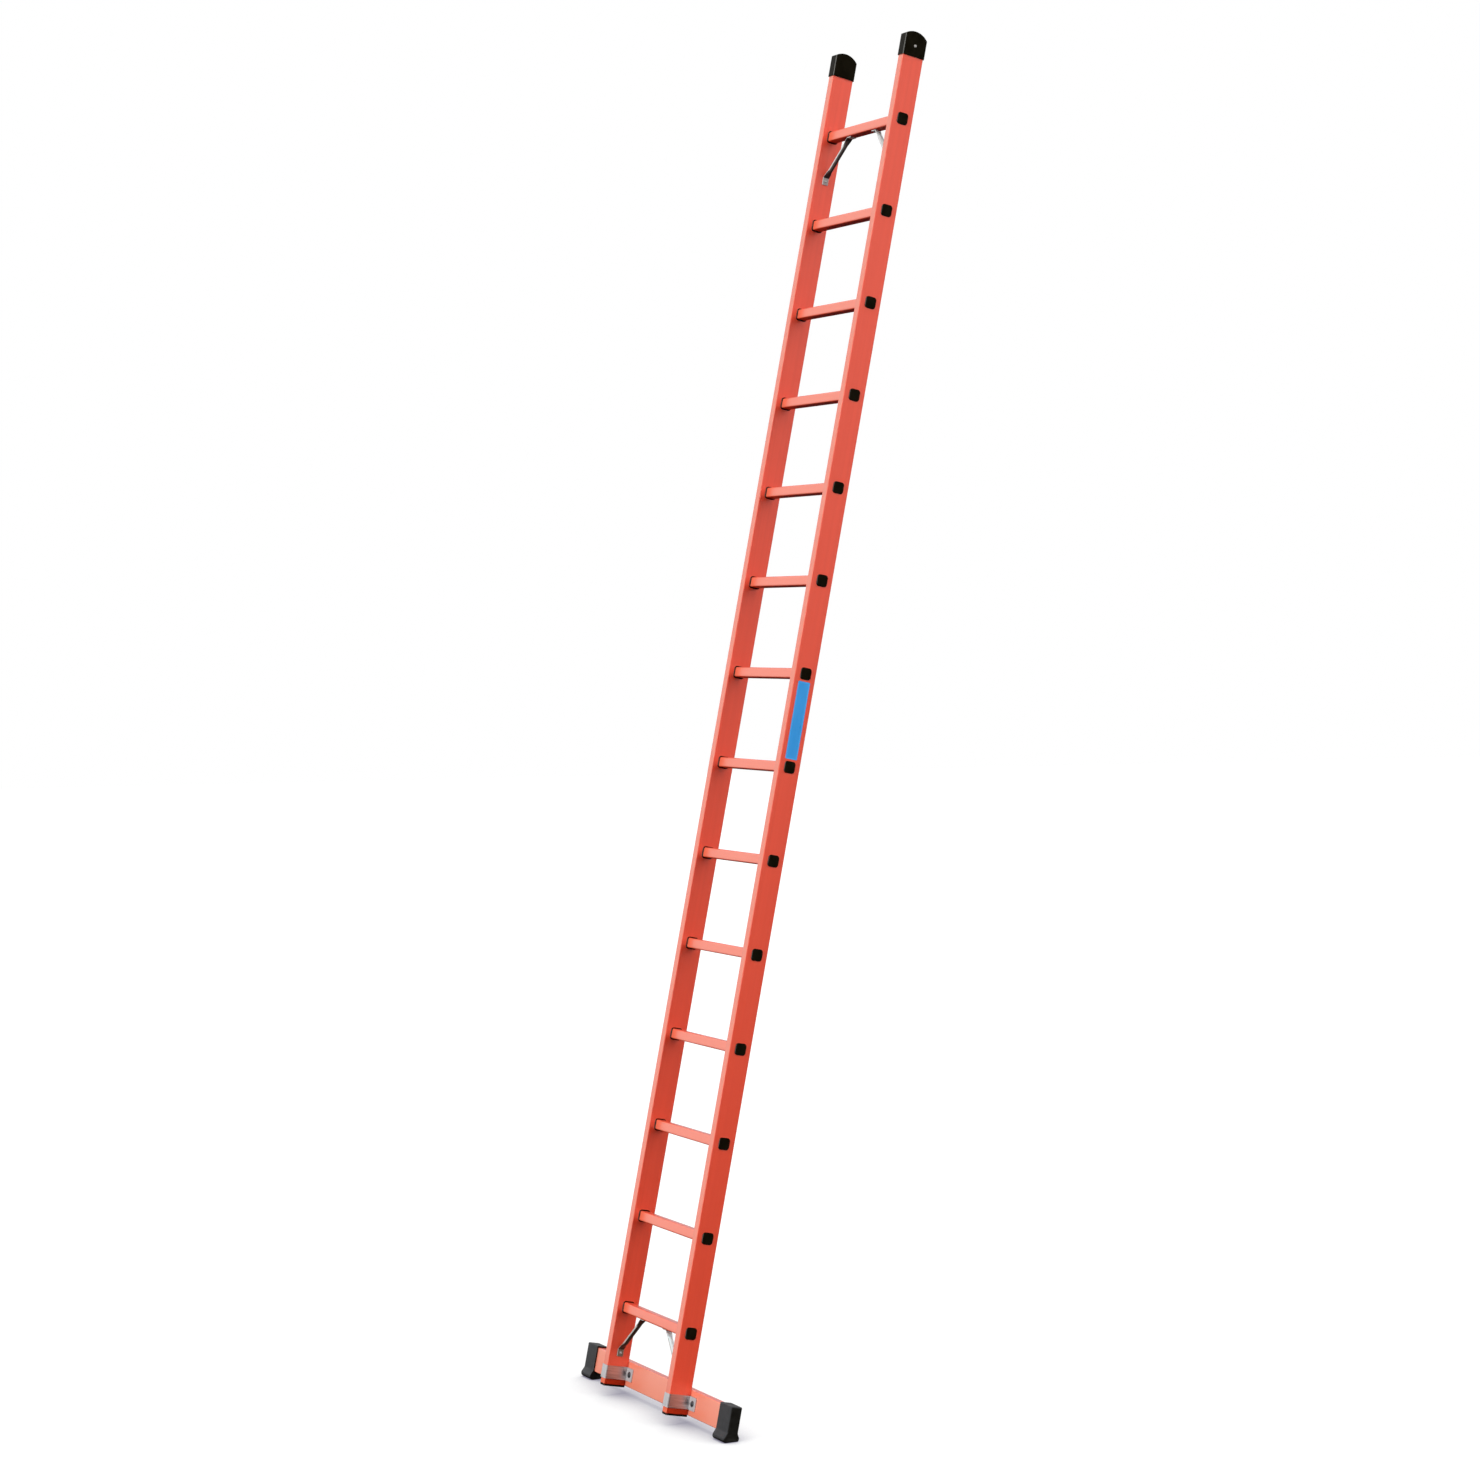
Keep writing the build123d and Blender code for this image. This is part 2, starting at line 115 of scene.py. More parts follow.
white = (1, 1, 1, 1)
cameraSetup = {
    "place": (8.595, -4.5883, 2.2926),
    "heading": 62.296,  # degrees, from looking along +Y round towards -X
    "tilt": -2.444,
    "imagePixels": 1480,
    "focalPixels": 3240.8,
    "shiftPixels": 36.5,
    "sensorWidth": 36,  # millimetres
    "farthest": 200,  # metres
}


def setCamera(setup):
    data = bpy.data.cameras.new("ladderCamera")
    data.sensor_width = setup["sensorWidth"]
    data.lens = setup["sensorWidth"] * setup["focalPixels"] / setup["imagePixels"]
    data.shift_y = setup["shiftPixels"] / setup["imagePixels"]
    data.clip_end = setup["farthest"]
    camera = bpy.data.objects.new("ladderCamera", data)
    camera.location = setup["place"]
    camera.rotation_euler = (radians(90 + setup["tilt"]), 0, radians(setup["heading"]))
    scene.collection.objects.link(camera)
    scene.camera = camera


worldSetup = {
    "tint": (0.98, 0.99, 1, 1),
    "skyLight": 0.36,  # soft light from above
    "lowLight": 0.012,
    "heightSpan": (-0.2, 0.6),  # low light turns into sky light between these
    "darkSide": (0.2, 0.9, 0),  # gloss mirrors an unlit side of the studio there
    "darkSpan": (0.06, 0.50),
    "darkLevel": 0.14,
}


def setWorld(setup):
    world = bpy.data.worlds.new("whiteStudio")
    world.use_nodes = True
    tree = world.node_tree
    tree.nodes.clear()
    looking = addNode(tree, "ShaderNodeTexCoord").outputs["Generated"]
    split = addNode(tree, "ShaderNodeSeparateXYZ", {0: looking})
    level = spread(
        tree, split.outputs["Z"], *setup["heightSpan"], setup["lowLight"], setup["skyLight"], "SMOOTHSTEP"
    )
    softLight = addNode(tree, "ShaderNodeBackground", {"Color": setup["tint"], "Strength": level})
    unlit = towards(tree, looking, setup["darkSide"])
    mirrored = spread(tree, unlit, *setup["darkSpan"], 1, setup["darkLevel"], "SMOOTHSTEP")
    direct, glossy = seenRays(tree)
    brightness = reckon(tree, "MAXIMUM", direct, mirrored)
    backdrop = addNode(tree, "ShaderNodeBackground", {"Color": white, "Strength": brightness})
    seen = reckon(tree, "MAXIMUM", direct, glossy)
    mix = addNode(tree, "ShaderNodeMixShader", {0: seen, 1: softLight.outputs[0], 2: backdrop.outputs[0]})
    addNode(tree, "ShaderNodeOutputWorld", {"Surface": mix.outputs[0]})
    scene.world = world


floorSetup = {
    "halfSize": 40,  # metres
    "paper": (0.12, 0.12, 0.12, 1),
    "bounce": (0.032, 0.031, 0.030, 1),  # lights the undersides
    "mirrored": (0.03, 0.03, 0.03, 1),
    "lift": 0.91,  # own light of the paper, so that it shows white where nothing shades it
    "contact": (0.22, 0.205, 0.29, 1),  # tint of the shade under bar and feet
    "contactReach": 0.24,  # metres
    "contactSpan": (0.32, 0.89),
    "contactRays": 16,
    "clearSpan": (0.8, 2.4),  # metres from the middle: the shadow fades out between these
    "brightSide": (0, -1, 0),  # gloss mirrors white paper there and a dim room elsewhere
    "brightSpan": (0.7, 1.4),
}


def setFloor(setup):
    half = setup["halfSize"]
    mesh = bpy.data.meshes.new("paleFloor")
    corners = [(-half, -half, 0), (half, -half, 0), (half, half, 0), (-half, half, 0)]
    mesh.from_pydata(corners, [], [(0, 1, 2, 3)])
    floor = bpy.data.objects.new("paleFloor", mesh)
    scene.collection.objects.link(floor)
    material = bpy.data.materials.new("paleFloor")
    material.use_nodes = True
    tree = material.node_tree
    tree.nodes.clear()
    place = addNode(tree, "ShaderNodeTexCoord").outputs["Object"]
    direct, glossy = seenRays(tree)
    # white paper with the object's shadow, as the camera sees it
    away = addNode(tree, "ShaderNodeVectorMath", {0: place}, operation="LENGTH")
    lift = spread(tree, away.outputs["Value"], *setup["clearSpan"], setup["lift"], 1, "SMOOTHSTEP")
    paper = addNode(tree, "ShaderNodeBsdfDiffuse", {"Color": setup["paper"]})
    openSky = addNode(
        tree,
        "ShaderNodeAmbientOcclusion",
        {"Distance": setup["contactReach"]},
        samples=setup["contactRays"],
    )
    shade = spread(tree, openSky.outputs["AO"], *setup["contactSpan"])
    tint = blendColour(tree, shade, setup["contact"], white)
    glow = addNode(tree, "ShaderNodeEmission", {"Color": tint, "Strength": lift})
    shown = addNode(tree, "ShaderNodeAddShader", {0: paper.outputs[0], 1: glow.outputs[0]})
    # what lights the undersides, and what gloss mirrors
    lowTone = blendColour(tree, glossy, setup["bounce"], setup["mirrored"])
    bounce = addNode(tree, "ShaderNodeBsdfDiffuse", {"Color": lowTone})
    nearSide = towards(tree, place, setup["brightSide"])
    bright = spread(tree, nearSide, *setup["brightSpan"], ease="SMOOTHSTEP")
    mirrored = reckon(tree, "MULTIPLY", bright, glossy)
    whitePaper = addNode(tree, "ShaderNodeEmission", {"Color": white, "Strength": 1})
    unseen = addNode(
        tree,
        "ShaderNodeMixShader",
        {0: mirrored, 1: bounce.outputs[0], 2: whitePaper.outputs[0]},
    )
    final = addNode(tree, "ShaderNodeMixShader", {0: direct, 1: unseen.outputs[0], 2: shown.outputs[0]})
    addNode(tree, "ShaderNodeOutputMaterial", {"Surface": final.outputs[0]})
    mesh.materials.append(material)


lampSetup = {
    "frontLight": {"from": (0.10, -0.93, 0.35), "strength": 2.40, "spread": 30},
    "rearLight": {"from": (0.78, 0.45, 0.43), "strength": 2.85, "spread": 80},
    "farLight": {"from": (-0.75, 0.45, 0.48), "strength": 1.70, "spread": 60},
}
lampDistance = 6  # metres


def setLamps(setup):
    for name, lamp in setup.items():
        side = Vector(lamp["from"])
        data = bpy.data.lights.new(name, "SUN")
        data.energy = lamp["strength"]
        data.angle = radians(lamp["spread"])
        holder = bpy.data.objects.new(name, data)
        holder.location = side * lampDistance
        holder.rotation_euler = side.to_track_quat("Z", "Y").to_euler()
        holder.visible_glossy = False  # no glare on the faces that look straight at a lamp
        scene.collection.objects.link(holder)


scene.view_settings.view_transform = "Standard"
setCamera(cameraSetup)
setWorld(worldSetup)
setFloor(floorSetup)
setLamps(lampSetup)
print("camera, floor and light set")

# Shared steps of the finishes

noiseSpan = (0.3, 0.7)  # most of a noise pattern's values lie here


def newFinish(name):
    material = bpy.data.materials.new(name)
    material.use_nodes = True
    return material, material.node_tree, material.node_tree.nodes["Principled BSDF"]


def ladderCoords(tree, size, turn=0):
    # object coordinates in the ladder's lean, over the pattern's size across, rearward and uphill
    coords = addNode(tree, "ShaderNodeTexCoord")
    leaning = addNode(
        tree,
        "ShaderNodeMapping",
        {"Vector": coords.outputs["Object"], "Rotation": leanTurn},
        vector_type="TEXTURE",
    )
    pattern = addNode(
        tree,
        "ShaderNodeMapping",
        {"Vector": leaning.outputs["Vector"], "Rotation": (0, turn, 0), "Scale": size},
        vector_type="TEXTURE",
    )
    return pattern.outputs["Vector"]


def leaningFrom(tree, middle):
    # object coordinates in the ladder's lean, in metres from a point
    coords = addNode(tree, "ShaderNodeTexCoord")
    local = addNode(
        tree,
        "ShaderNodeMapping",
        {"Vector": coords.outputs["Object"], "Location": middle, "Rotation": leanTurn},
        vector_type="TEXTURE",
    )
    return local.outputs["Vector"]


def grain(tree, size, detail=3, rough=0.55, turn=0, swirl=0):
    noise = addNode(
        tree,
        "ShaderNodeTexNoise",
        {
            "Vector": ladderCoords(tree, size, turn),
            "Scale": 1,
            "Detail": detail,
            "Roughness": rough,
            "Distortion": swirl,
        },
    )
    return noise.outputs["Fac"]


def relief(tree, height, strength, distance, under=None):
    inputs = {"Height": height, "Strength": strength, "Distance": distance}
    if under is not None:
        inputs["Normal"] = under
    return addNode(tree, "ShaderNodeBump", inputs).outputs["Normal"]


def faceMask(tree, direction, low, high, most=1):
    # rises to its most on the faces towards a direction
    coords = addNode(tree, "ShaderNodeTexCoord")
    facing = towards(tree, coords.outputs["Normal"], direction)
    return spread(tree, facing, low, high, 0, most)


def dress(names, material):
    for name in names:
        data = parts[name].data
        data.materials.clear()
        data.materials.append(material)


def wire(tree, shader, links):
    for socket, source in links.items():
        tree.links.new(source, shader.inputs[socket])


def setValues(shader, values):
    for socket, value in values.items():
        shader.inputs[socket].default_value = value


# Fibreglass: pultruded sections, with glass rovings along their length under a thin resin veil

fibreglass = {
    "deep": (0.88, 0.064, 0.018, 1),
    "bright": (0.93, 0.071, 0.021, 1),
    "roving": (0.95, 0.095, 0.036, 1),
    "stileLitFront": (0.86, 0.172, 0.091, 1),  # painted light: paler on the faces towards the climber, where the front lamp falls
    "rungLitFront": (0.93, 0.174, 0.088, 1),
    "barLitFront": (1.0, 0.30, 0.188, 1),
    "litFrontSpan": (0.55, 0.90),
    # tone of the painted shade: towards the foot, on undersides and on the stile ends below the clamps
    "shadeTone": (0.50, 0.030, 0.006, 1),
    "lowShadeSpan": (3.8, -0.2),  # heights from the lowest rung: painted shade, darker towards the foot
    "lowShadeMost": 0.30,
    "undersideSpan": (0.25, 0.75),
    "undersideMost": 0.9,  # painted shade on faces that look down
    "shadedEndSpan": (-0.216, -0.219),  # painted shadow on the stile ends below the clamps
    "shadedEndMost": 0.94,
    "dullGloss": 0.10,  # undersides and the shaded stile ends
    "edge": (0.006, 0.004, 0.003, 1),  # black edge next to the end plug
    "edgeSpan": (-0.2352, -0.2362),
    "gloss": 1.0,
    "coatRoughness": 0.26,
    "roughness": (0.34, 0.46),
    "fibreWidth": 0.0007,
    "fibreLength": 0.09,
    "fibreSpan": (0.52, 0.78),
    "fibreMost": 0.20,
    "fibreRelief": (0.12, 0.00006),  # strength and height
    "bandWidth": 0.010,
    "bandLength": 0.9,
    "bandSpan": (0.34, 0.66),
    "veil": 0.006,
    "veilSwirl": 1.4,
    "veilSpan": (0.42, 0.75),
    "veilMost": 0.22,
    "veilRelief": (0.2, 0.00025),
}
crossAxis, stileAxis = 0, 2  # which way the rovings run


def fibreglassFinish(name, lengthAxis, setup, litFrontTone):
    material, tree, shader = newFinish(name)

    def along(width, length):
        return tuple(length if axis == lengthAxis else width for axis in range(3))

    bands = grain(tree, along(setup["bandWidth"], setup["bandLength"]), detail=2)
    fibres = grain(tree, along(setup["fibreWidth"], setup["fibreLength"]), detail=3)
    veil = grain(tree, (setup["veil"],) * 3, detail=4, rough=0.6, swirl=setup["veilSwirl"])
    resin = blendColour(tree, spread(tree, bands, *setup["bandSpan"]), setup["deep"], setup["bright"])
    glassy = spread(tree, fibres, *setup["fibreSpan"], 0, setup["fibreMost"])
    lit = blendColour(tree, glassy, resin, setup["roving"])
    misty = spread(tree, veil, *setup["veilSpan"], 0, setup["veilMost"])
    veiled = blendColour(tree, misty, lit, setup["deep"])
    leaning = addNode(tree, "ShaderNodeSeparateXYZ", {0: leaningFrom(tree, lowestRung)})
    height = leaning.outputs["Z"]
    # painted shade: darker towards the foot
    lowShade = spread(tree, height, *setup["lowShadeSpan"], 0, setup["lowShadeMost"])
    used = blendColour(tree, lowShade, veiled, setup["shadeTone"])
    # painted shade on faces that look down
    dull = faceMask(tree, -uphill, *setup["undersideSpan"])
    shadeAmount = spread(tree, dull, 0, 1, 0, setup["undersideMost"])
    used = blendColour(tree, shadeAmount, used, setup["shadeTone"])
    if lengthAxis == stileAxis:
        # painted shadow on the stile ends below the clamps, where the bar keeps the light off
        shadedEnd = spread(tree, height, *setup["shadedEndSpan"])
        shadeAmount = spread(tree, shadedEnd, 0, 1, 0, setup["shadedEndMost"])
        used = blendColour(tree, shadeAmount, used, setup["shadeTone"])
        dull = reckon(tree, "MAXIMUM", dull, shadedEnd)
    gloss = spread(tree, dull, 0, 1, setup["gloss"], setup["dullGloss"])
    # painted light: paler faces towards the climber, where the front lamp falls
    front = faceMask(tree, -rearward, *setup["litFrontSpan"])
    colour = blendColour(tree, front, used, setup[litFrontTone])
    if lengthAxis == stileAxis:
        edge = spread(tree, height, *setup["edgeSpan"])
        colour = blendColour(tree, edge, colour, setup["edge"])
    sheen = spread(tree, veil, *noiseSpan, *setup["roughness"])
    smooth = relief(tree, fibres, *setup["fibreRelief"])
    skin = relief(tree, veil, *setup["veilRelief"], smooth)
    wire(
        tree,
        shader,
        {
            "Base Color": colour,
            "Roughness": sheen,
            "Normal": skin,
            "Coat Weight": gloss,
            "Specular IOR Level": gloss,
        },
    )
    setValues(shader, {"Coat Roughness": setup["coatRoughness"], "Specular IOR Level": setup["gloss"]})
    return material


rungNames = [f"rung_{number:02d}" for number in range(1, ladder["rungCount"] + 1)]
stileFinish = fibreglassFinish("fibreglassStile", stileAxis, fibreglass, "stileLitFront")
rungFinish = fibreglassFinish("fibreglassRung", crossAxis, fibreglass, "rungLitFront")
barFinish = fibreglassFinish("fibreglassBar", crossAxis, fibreglass, "barLitFront")
dress(["left_stile", "right_stile"], stileFinish)
dress(rungNames, rungFinish)
dress(["stabiliser_bar"], barFinish)
print("fibreglass done")

# Black moulded plastic of caps, plugs and collars

blackPlastic = {
    "dark": (0.0046, 0.0034, 0.0012, 1),
    "lighterTone": (0.009, 0.007, 0.0030, 1),
    "cornerHighlight": (0.165, 0.162, 0.15, 1),  # painted highlight along the rounded upright corners at the front
    "cornerHighlightSpan": (0.90, 0.99),
    "cornerHighlightMost": 0.9,
    "specular": 0.05,
    "roughness": (0.28, 0.42),
    "cloud": (0.02, 0.02, 0.035),
    "cloudSpan": (0.4, 0.75),
    "pebble": 0.0007,
    "pebbleRelief": (0.3, 0.00008),
}


def plasticFinish(name, setup):
    material, tree, shader = newFinish(name)
    pebble = grain(tree, (setup["pebble"],) * 3, detail=2)
    cloud = grain(tree, setup["cloud"], detail=4)
    colour = blendColour(tree, spread(tree, cloud, *setup["cloudSpan"]), setup["dark"], setup["lighterTone"])
    # painted highlight along the rounded upright corners at the front
    for corner in (across - rearward, -across - rearward):
        cornerHighlight = faceMask(tree, corner.normalized(), *setup["cornerHighlightSpan"], setup["cornerHighlightMost"])
        colour = blendColour(tree, cornerHighlight, colour, setup["cornerHighlight"])
    sheen = spread(tree, cloud, *noiseSpan, *setup["roughness"])
    skin = relief(tree, pebble, *setup["pebbleRelief"])
    wire(tree, shader, {"Base Color": colour, "Roughness": sheen, "Normal": skin})
    setValues(shader, {"Specular IOR Level": setup["specular"]})
    return material


blackFinish = plasticFinish("blackPlastic", blackPlastic)
for piece in ("top_cap", "rung_plugs", "rung_collars", "base_plug"):
    dress([f"left_{piece}", f"right_{piece}"], blackFinish)
print("black plastic done")

# Rubber feet

footRubber = {
    "dark": (0.0030, 0.0024, 0.0012, 1),
    "pale": (0.0070, 0.0062, 0.0048, 1),
    "lighterTone": (0.041, 0.042, 0.045, 1),  # painted light: grey on the top and front faces
    "litFaceSpan": (0.2, 0.4),
    "litFaceMost": 0.85,
    "dust": (0.05, 0.047, 0.042, 1),
    "dustHeight": 0.016,
    "dustSpan": (0.4, 0.8),
    "dustMost": 0.5,
    "specular": 0.40,
    "roughness": (0.50, 0.68),
    "cloud": 0.018,
    "cloudSpan": (0.35, 0.7),
    "pebble": 0.0011,
    "pebbleRelief": (0.35, 0.00012),
}


def rubberFinish(name, setup):
    material, tree, shader = newFinish(name)
    pebble = grain(tree, (setup["pebble"],) * 3, detail=2, rough=0.5)
    cloud = grain(tree, (setup["cloud"],) * 3, detail=4)
    coords = addNode(tree, "ShaderNodeTexCoord")
    height = addNode(tree, "ShaderNodeSeparateXYZ", {0: coords.outputs["Object"]})
    low = spread(tree, height.outputs["Z"], setup["dustHeight"], 0)
    patchy = spread(tree, cloud, *setup["dustSpan"], 0, setup["dustMost"])
    dusty = reckon(tree, "MULTIPLY", low, patchy)
    body = blendColour(tree, spread(tree, cloud, *setup["cloudSpan"]), setup["dark"], setup["pale"])
    # painted light: greyer on the top and front faces
    lighterTone = faceMask(tree, (uphill - rearward) / 2, *setup["litFaceSpan"], setup["litFaceMost"])
    greyed = blendColour(tree, lighterTone, body, setup["lighterTone"])
    colour = blendColour(tree, dusty, greyed, setup["dust"])
    sheen = spread(tree, cloud, *noiseSpan, *setup["roughness"])
    skin = relief(tree, pebble, *setup["pebbleRelief"])
    wire(tree, shader, {"Base Color": colour, "Roughness": sheen, "Normal": skin})
    setValues(shader, {"Specular IOR Level": setup["specular"]})
    return material


dress(["left_foot", "right_foot"], rubberFinish("footRubber", footRubber))
print("feet done")

# Metals: brushed clamp sheet, drawn brace tube, dull rivets, dark bolts and zinc nuts

metals = {
    "clampSteel": {
        "dark": (0.42, 0.37, 0.37, 1),
        "bright": (0.70, 0.62, 0.62, 1),
        "roughness": (0.28, 0.40),
        "streaks": [(0.05, 0.05, 0.0005), (0.09, 0.09, 0.0032)],  # fine and broad
        "metallic": 1.0,
        "dulled": {"tone": (0.63, 0.63, 0.65, 1), "metallic": 0.20},  # faces towards the climber: a pale matte tone, painted light from the front
    },
    "braceAluminium": {
        "bright": (0.88, 0.88, 0.87, 1),
        "roughness": (0.26, 0.38),
        "streaks": [(0.0006, 0.0006, 0.05), (0.004, 0.004, 0.15)],
        "metallic": 0.55,
        "stileSideMetallic": 0.25,
        "edgeAndHighlight": (0.97, 0.96, 0.93, 1),  # bright cut edges of the tabs, and a painted highlight line along the front of the struts, towards the climber
    },
    "rivetAluminium": {
        "dark": (0.24, 0.22, 0.20, 1),
        "bright": (0.40, 0.37, 0.35, 1),
        "roughness": (0.30, 0.46),
        "streaks": [(0.0008, 0.0008, 0.0008), (0.003, 0.003, 0.003)],
        "metallic": 0.4,
    },
    "stemSteel": {
        "dark": (0.78, 0.78, 0.78, 1),
        "bright": (0.92, 0.92, 0.92, 1),
        "roughness": (0.26, 0.40),
        "streaks": [(0.0004, 0.0004, 0.0004), (0.001, 0.001, 0.001)],
        "metallic": 0.35,
    },
    "boltSteel": {
        "dark": (0.045, 0.045, 0.05, 1),
        "bright": (0.10, 0.10, 0.11, 1),
        "roughness": (0.30, 0.44),
        "streaks": [(0.001, 0.001, 0.001), (0.006, 0.006, 0.006)],
        "metallic": 0.6,
    },
    "zincFastener": {
        "dark": (0.42, 0.42, 0.40, 1),
        "bright": (0.68, 0.68, 0.68, 1),
        "roughness": (0.28, 0.46),
        "streaks": [(0.001, 0.001, 0.001), (0.006, 0.006, 0.006)],
        "metallic": 1.0,
    },
}
braceWear = {
    "upper": {
        "dark": (0.70, 0.70, 0.69, 1),
        "dulled": {"tone": (0.36, 0.32, 0.31, 1), "metallic": 0.30},  # tabs on the stiles
        "strutShade": (0.075, 0.060, 0.058, 1),  # painted shade on the underside of the struts
        "stileSideTones": {"left": (0.30, 0.31, 0.31, 1), "right": (0.57, 0.63, 0.62, 1)},  # side towards the stile: painted light on the right braces, painted shade on the left ones
    },
    "lower": {  # nearer to the ground and more weathered
        "dark": (0.30, 0.28, 0.22, 1),
        "dulled": {"tone": (0.14, 0.105, 0.055, 1), "metallic": 0.30},
        "strutShade": (0.070, 0.052, 0.034, 1),
        "stileSideTones": {"left": (0.34, 0.30, 0.22, 1), "right": (0.84, 0.96, 0.97, 1)},
    },
}
metalWear = {
    "streakSpan": (0.75, 1.25),  # both streak patterns added
    "streakRelief": (0.2, 0.00004),
    "strutShadeSpan": (0.25, 0.32),
    "dulledSpan": (0.80, 0.95),
    "dulledMost": 0.85,
    "stileSideSpan": (0.02, 0.30),
    "edgeAndHighlightSpan": (0.996, 0.9995),
}


def metalFinish(name, setup, turn=0, dullSide=None):
    material, tree, shader = newFinish(name)
    fine, broad = (grain(tree, size, detail=3, turn=turn) for size in setup["streaks"])
    streaks = reckon(tree, "ADD", fine, broad)
    shade = spread(tree, streaks, *metalWear["streakSpan"])
    colour = blendColour(tree, shade, setup["dark"], setup["bright"])
    if "strutShade" in setup:
        # painted shade on the struts' faces that look down and inwards
        inner = faceMask(tree, dullSide, *metalWear["strutShadeSpan"])
        below = faceMask(tree, -uphill, *metalWear["strutShadeSpan"])
        colour = blendColour(tree, reckon(tree, "MULTIPLY", inner, below), colour, setup["strutShade"])
    if "dulled" in setup:
        dull = faceMask(tree, dullSide, *metalWear["dulledSpan"], metalWear["dulledMost"])
        colour = blendColour(tree, dull, colour, setup["dulled"]["tone"])
        bareMetal = spread(tree, dull, 0, 1, setup["metallic"], setup["dulled"]["metallic"])
        if "stileSideTone" in setup:
            # the side towards the stile: a pale tone as painted light on the right braces, a darker one as
            # painted shade on the left braces
            outer = faceMask(tree, -dullSide, *metalWear["stileSideSpan"])
            colour = blendColour(tree, outer, colour, setup["stileSideTone"])
            kept = spread(tree, outer, 0, 1, 1, setup["stileSideMetallic"])
            bareMetal = reckon(tree, "MULTIPLY", bareMetal, kept)
        wire(tree, shader, {"Metallic": bareMetal})
    if "edgeAndHighlight" in setup:
        # bright cut edges of the tabs, and a painted highlight line along the front of the tube struts
        edgeAndHighlightMask = faceMask(tree, -rearward, *metalWear["edgeAndHighlightSpan"])
        colour = blendColour(tree, edgeAndHighlightMask, colour, setup["edgeAndHighlight"])
    sheen = spread(tree, fine, *noiseSpan, *setup["roughness"])
    skin = relief(tree, fine, *metalWear["streakRelief"])
    wire(tree, shader, {"Base Color": colour, "Roughness": sheen, "Normal": skin})
    setValues(shader, {"Metallic": setup["metallic"]})
    return material


steelFinish = metalFinish("clampSteel", metals["clampSteel"], dullSide=-rearward)
rivetFinish = metalFinish("rivetAluminium", metals["rivetAluminium"])
stemFinish = metalFinish("stemSteel", metals["stemSteel"])
boltFinish = metalFinish("boltSteel", metals["boltSteel"])
zincFinish = metalFinish("zincFastener", metals["zincFastener"])
dress(["left_clamp", "right_clamp"], steelFinish)
dress(["top_cap_rivets", "brace_stile_rivets", "brace_rung_rivets"], rivetFinish)
dress(["clamp_bolts"], boltFinish)
dress(["clamp_washers", "clamp_nuts"], zincFinish)
braceSides = {"left": (radians(45), across), "right": (radians(-45), -across)}  # slope, and the way inwards
for pair, wear in braceWear.items():
    for hand, (slope, inward) in braceSides.items():
        braceSetup = {**metals["braceAluminium"], **wear, "stileSideTone": wear["stileSideTones"][hand]}
        dress([f"{pair}_{hand}_brace"], metalFinish(f"{pair}Brace_{hand}", braceSetup, slope, inward))
print("metals done")

# Small fittings that repeat: the pulled stems in the rivet heads and the threads past the nuts


def newNodeTree(name, sizes):
    tree = bpy.data.node_groups.new(name, "GeometryNodeTree")
    tree.interface.new_socket("Seats", in_out="INPUT", socket_type="NodeSocketGeometry")
    for size in sizes:
        tree.interface.new_socket(size, in_out="INPUT", socket_type="NodeSocketFloat")
    tree.interface.new_socket("Fittings", in_out="OUTPUT", socket_type="NodeSocketGeometry")
    return tree, addNode(tree, "NodeGroupInput").outputs


def roundCurve(tree, sides, radius):
    node = addNode(tree, "GeometryNodeCurvePrimitiveCircle", {"Resolution": sides, "Radius": radius})
    return node.outputs["Curve"]


def setOut(tree, seats, shape, finish):
    # a copy of the shape on each seat, turned to face the way that the seat does
    facing = addNode(tree, "GeometryNodeInputNamedAttribute", {"Name": "facing"}, data_type="FLOAT_VECTOR")
    turned = addNode(
        tree,
        "FunctionNodeAlignRotationToVector",
        {"Vector": facing.outputs["Attribute"]},
        axis="Z",
    )
    copies = addNode(
        tree,
        "GeometryNodeInstanceOnPoints",
        {"Points": seats, "Instance": shape, "Rotation": turned.outputs["Rotation"]},
    )
    real = addNode(tree, "GeometryNodeRealizeInstances", {"Geometry": copies.outputs["Instances"]})
    dressed = addNode(
        tree,
        "GeometryNodeSetMaterial",
        {"Geometry": real.outputs["Geometry"], "Material": finish},
    )
    addNode(tree, "NodeGroupOutput", {"Fittings": dressed.outputs["Geometry"]})


def growPiece(name, tree, sizes, seats):
    mesh = bpy.data.meshes.new(name)
    mesh.from_pydata([place for place, direction in seats], [], [])
    facing = mesh.attributes.new("facing", "FLOAT_VECTOR", "POINT")
    for number, (place, direction) in enumerate(seats):
        facing.data[number].vector = direction
    piece = bpy.data.objects.new(name, mesh)
    scene.collection.objects.link(piece)
    grower = piece.modifiers.new("setOut", "NODES")
    grower.node_group = tree
    for socket in tree.interface.items_tree:
        if socket.in_out == "INPUT" and socket.name in sizes:
            grower[socket.identifier] = sizes[socket.name]
    evaluated = piece.evaluated_get(bpy.context.evaluated_depsgraph_get())
    grown = bpy.data.meshes.new_from_object(evaluated)
    piece.modifiers.clear()
    piece.data = grown
    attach(piece, "root")
    print(name, len(grown.polygons), "faces")


rivetStems = {
    "sizes": {
        "stemRadius": 0.0011,
        "stemHeight": 0.0006,
        "ringRadius": 0.0019,
        "ringThickness": 0.00028,
        "ringDrop": 0.00024,  # the domed head falls away from the stem
    },
    "stemSides": 16,
    "ringSides": 20,
    "beadSides": 8,
    "crown": 0.0018,  # height of a rivet head
    "capFace": 0.0027,  # outer face of a cap beyond the stile
    "capHeight": 3.861,  # heights from the lowest rung
    "tab": 0.003,  # flattened brace end
    "stileTabDrop": 0.13825,  # below the rung that is braced
    "rungTabReach": 0.074,  # from the middle of the ladder
}


